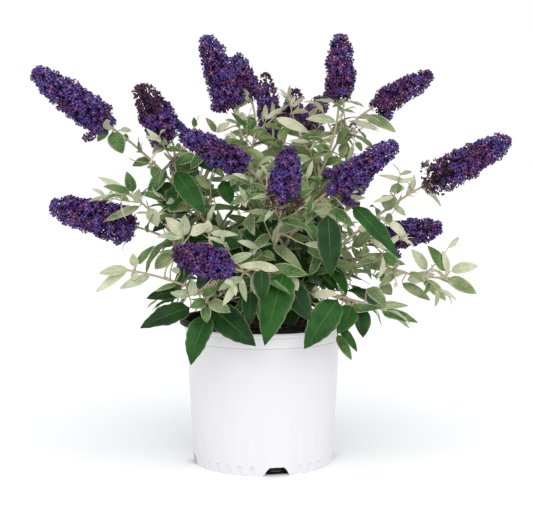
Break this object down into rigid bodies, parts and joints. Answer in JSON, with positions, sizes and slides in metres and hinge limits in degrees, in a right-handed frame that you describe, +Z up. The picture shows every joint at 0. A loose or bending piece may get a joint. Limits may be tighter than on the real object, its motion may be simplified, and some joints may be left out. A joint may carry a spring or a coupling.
{
  "type": "potted butterfly bush",
  "caption": "Flowering shrub with arching leafy stems and tapering violet flower spikes, standing in a plain white nursery pot filled with bark mix.",
  "frame": {"origin": "middle of the pot's flat underside", "axes": "+Z up along the pot's axis; the bush's front faces -Y, and +X is to the right seen from the front"},
  "size_m": [0.778, 0.5503, 0.7139],
  "materials": {
    "pot": "satin",
    "soil": "matte",
    "bark": "matte",
    "foliage": "matte",
    "flowers": "matte"
  },
  "bodies": {
    "root": {"pot": "pot", "soil": "soil", "trunk": "bark", "bough_back": "bark", "bough_back_left": "bark", "bough_back_low": "bark", "bough_back_right": "bark", "bough_centre_front": "bark", "bough_far_left_low": "bark", "bough_far_right": "bark", "bough_front_left_low": "bark", "bough_left": "bark", "bough_left_inner": "bark", "bough_right_high": "bark", "bough_right_inner": "bark", "bough_right_low": "bark", "bough_top_left": "bark", "bough_top_right": "bark", "leaves_back": "foliage", "leaves_back_left": "foliage", "leaves_back_low": "foliage", "leaves_back_right": "foliage", "leaves_centre_front": "foliage", "leaves_far_left_low": "foliage", "leaves_far_right": "foliage", "leaves_front_left_low": "foliage", "leaves_left": "foliage", "leaves_left_inner": "foliage", "leaves_right_high": "foliage", "leaves_right_inner": "foliage", "leaves_right_low": "foliage", "leaves_top_left": "foliage", "leaves_top_right": "foliage", "skirt_back_left": "foliage", "skirt_back_right": "foliage", "skirt_front": "foliage", "skirt_left": "foliage", "skirt_right": "foliage", "flowers_back_centre": "flowers", "flowers_back_centre_right": "flowers", "flowers_back_left": "flowers", "flowers_back_low": "flowers", "flowers_back_right": "flowers", "flowers_centre_front": "flowers", "flowers_far_left_high": "flowers", "flowers_far_left_low": "flowers", "flowers_far_right": "flowers", "flowers_front_left_low": "flowers", "flowers_left_high": "flowers", "flowers_left_inner": "flowers", "flowers_right_high": "flowers", "flowers_right_inner": "flowers", "flowers_right_low": "flowers", "flowers_top_left": "flowers", "flowers_top_left_back": "flowers", "flowers_top_right": "flowers", "flowers_top_right_back": "flowers"}
  },
  "joints": []
}
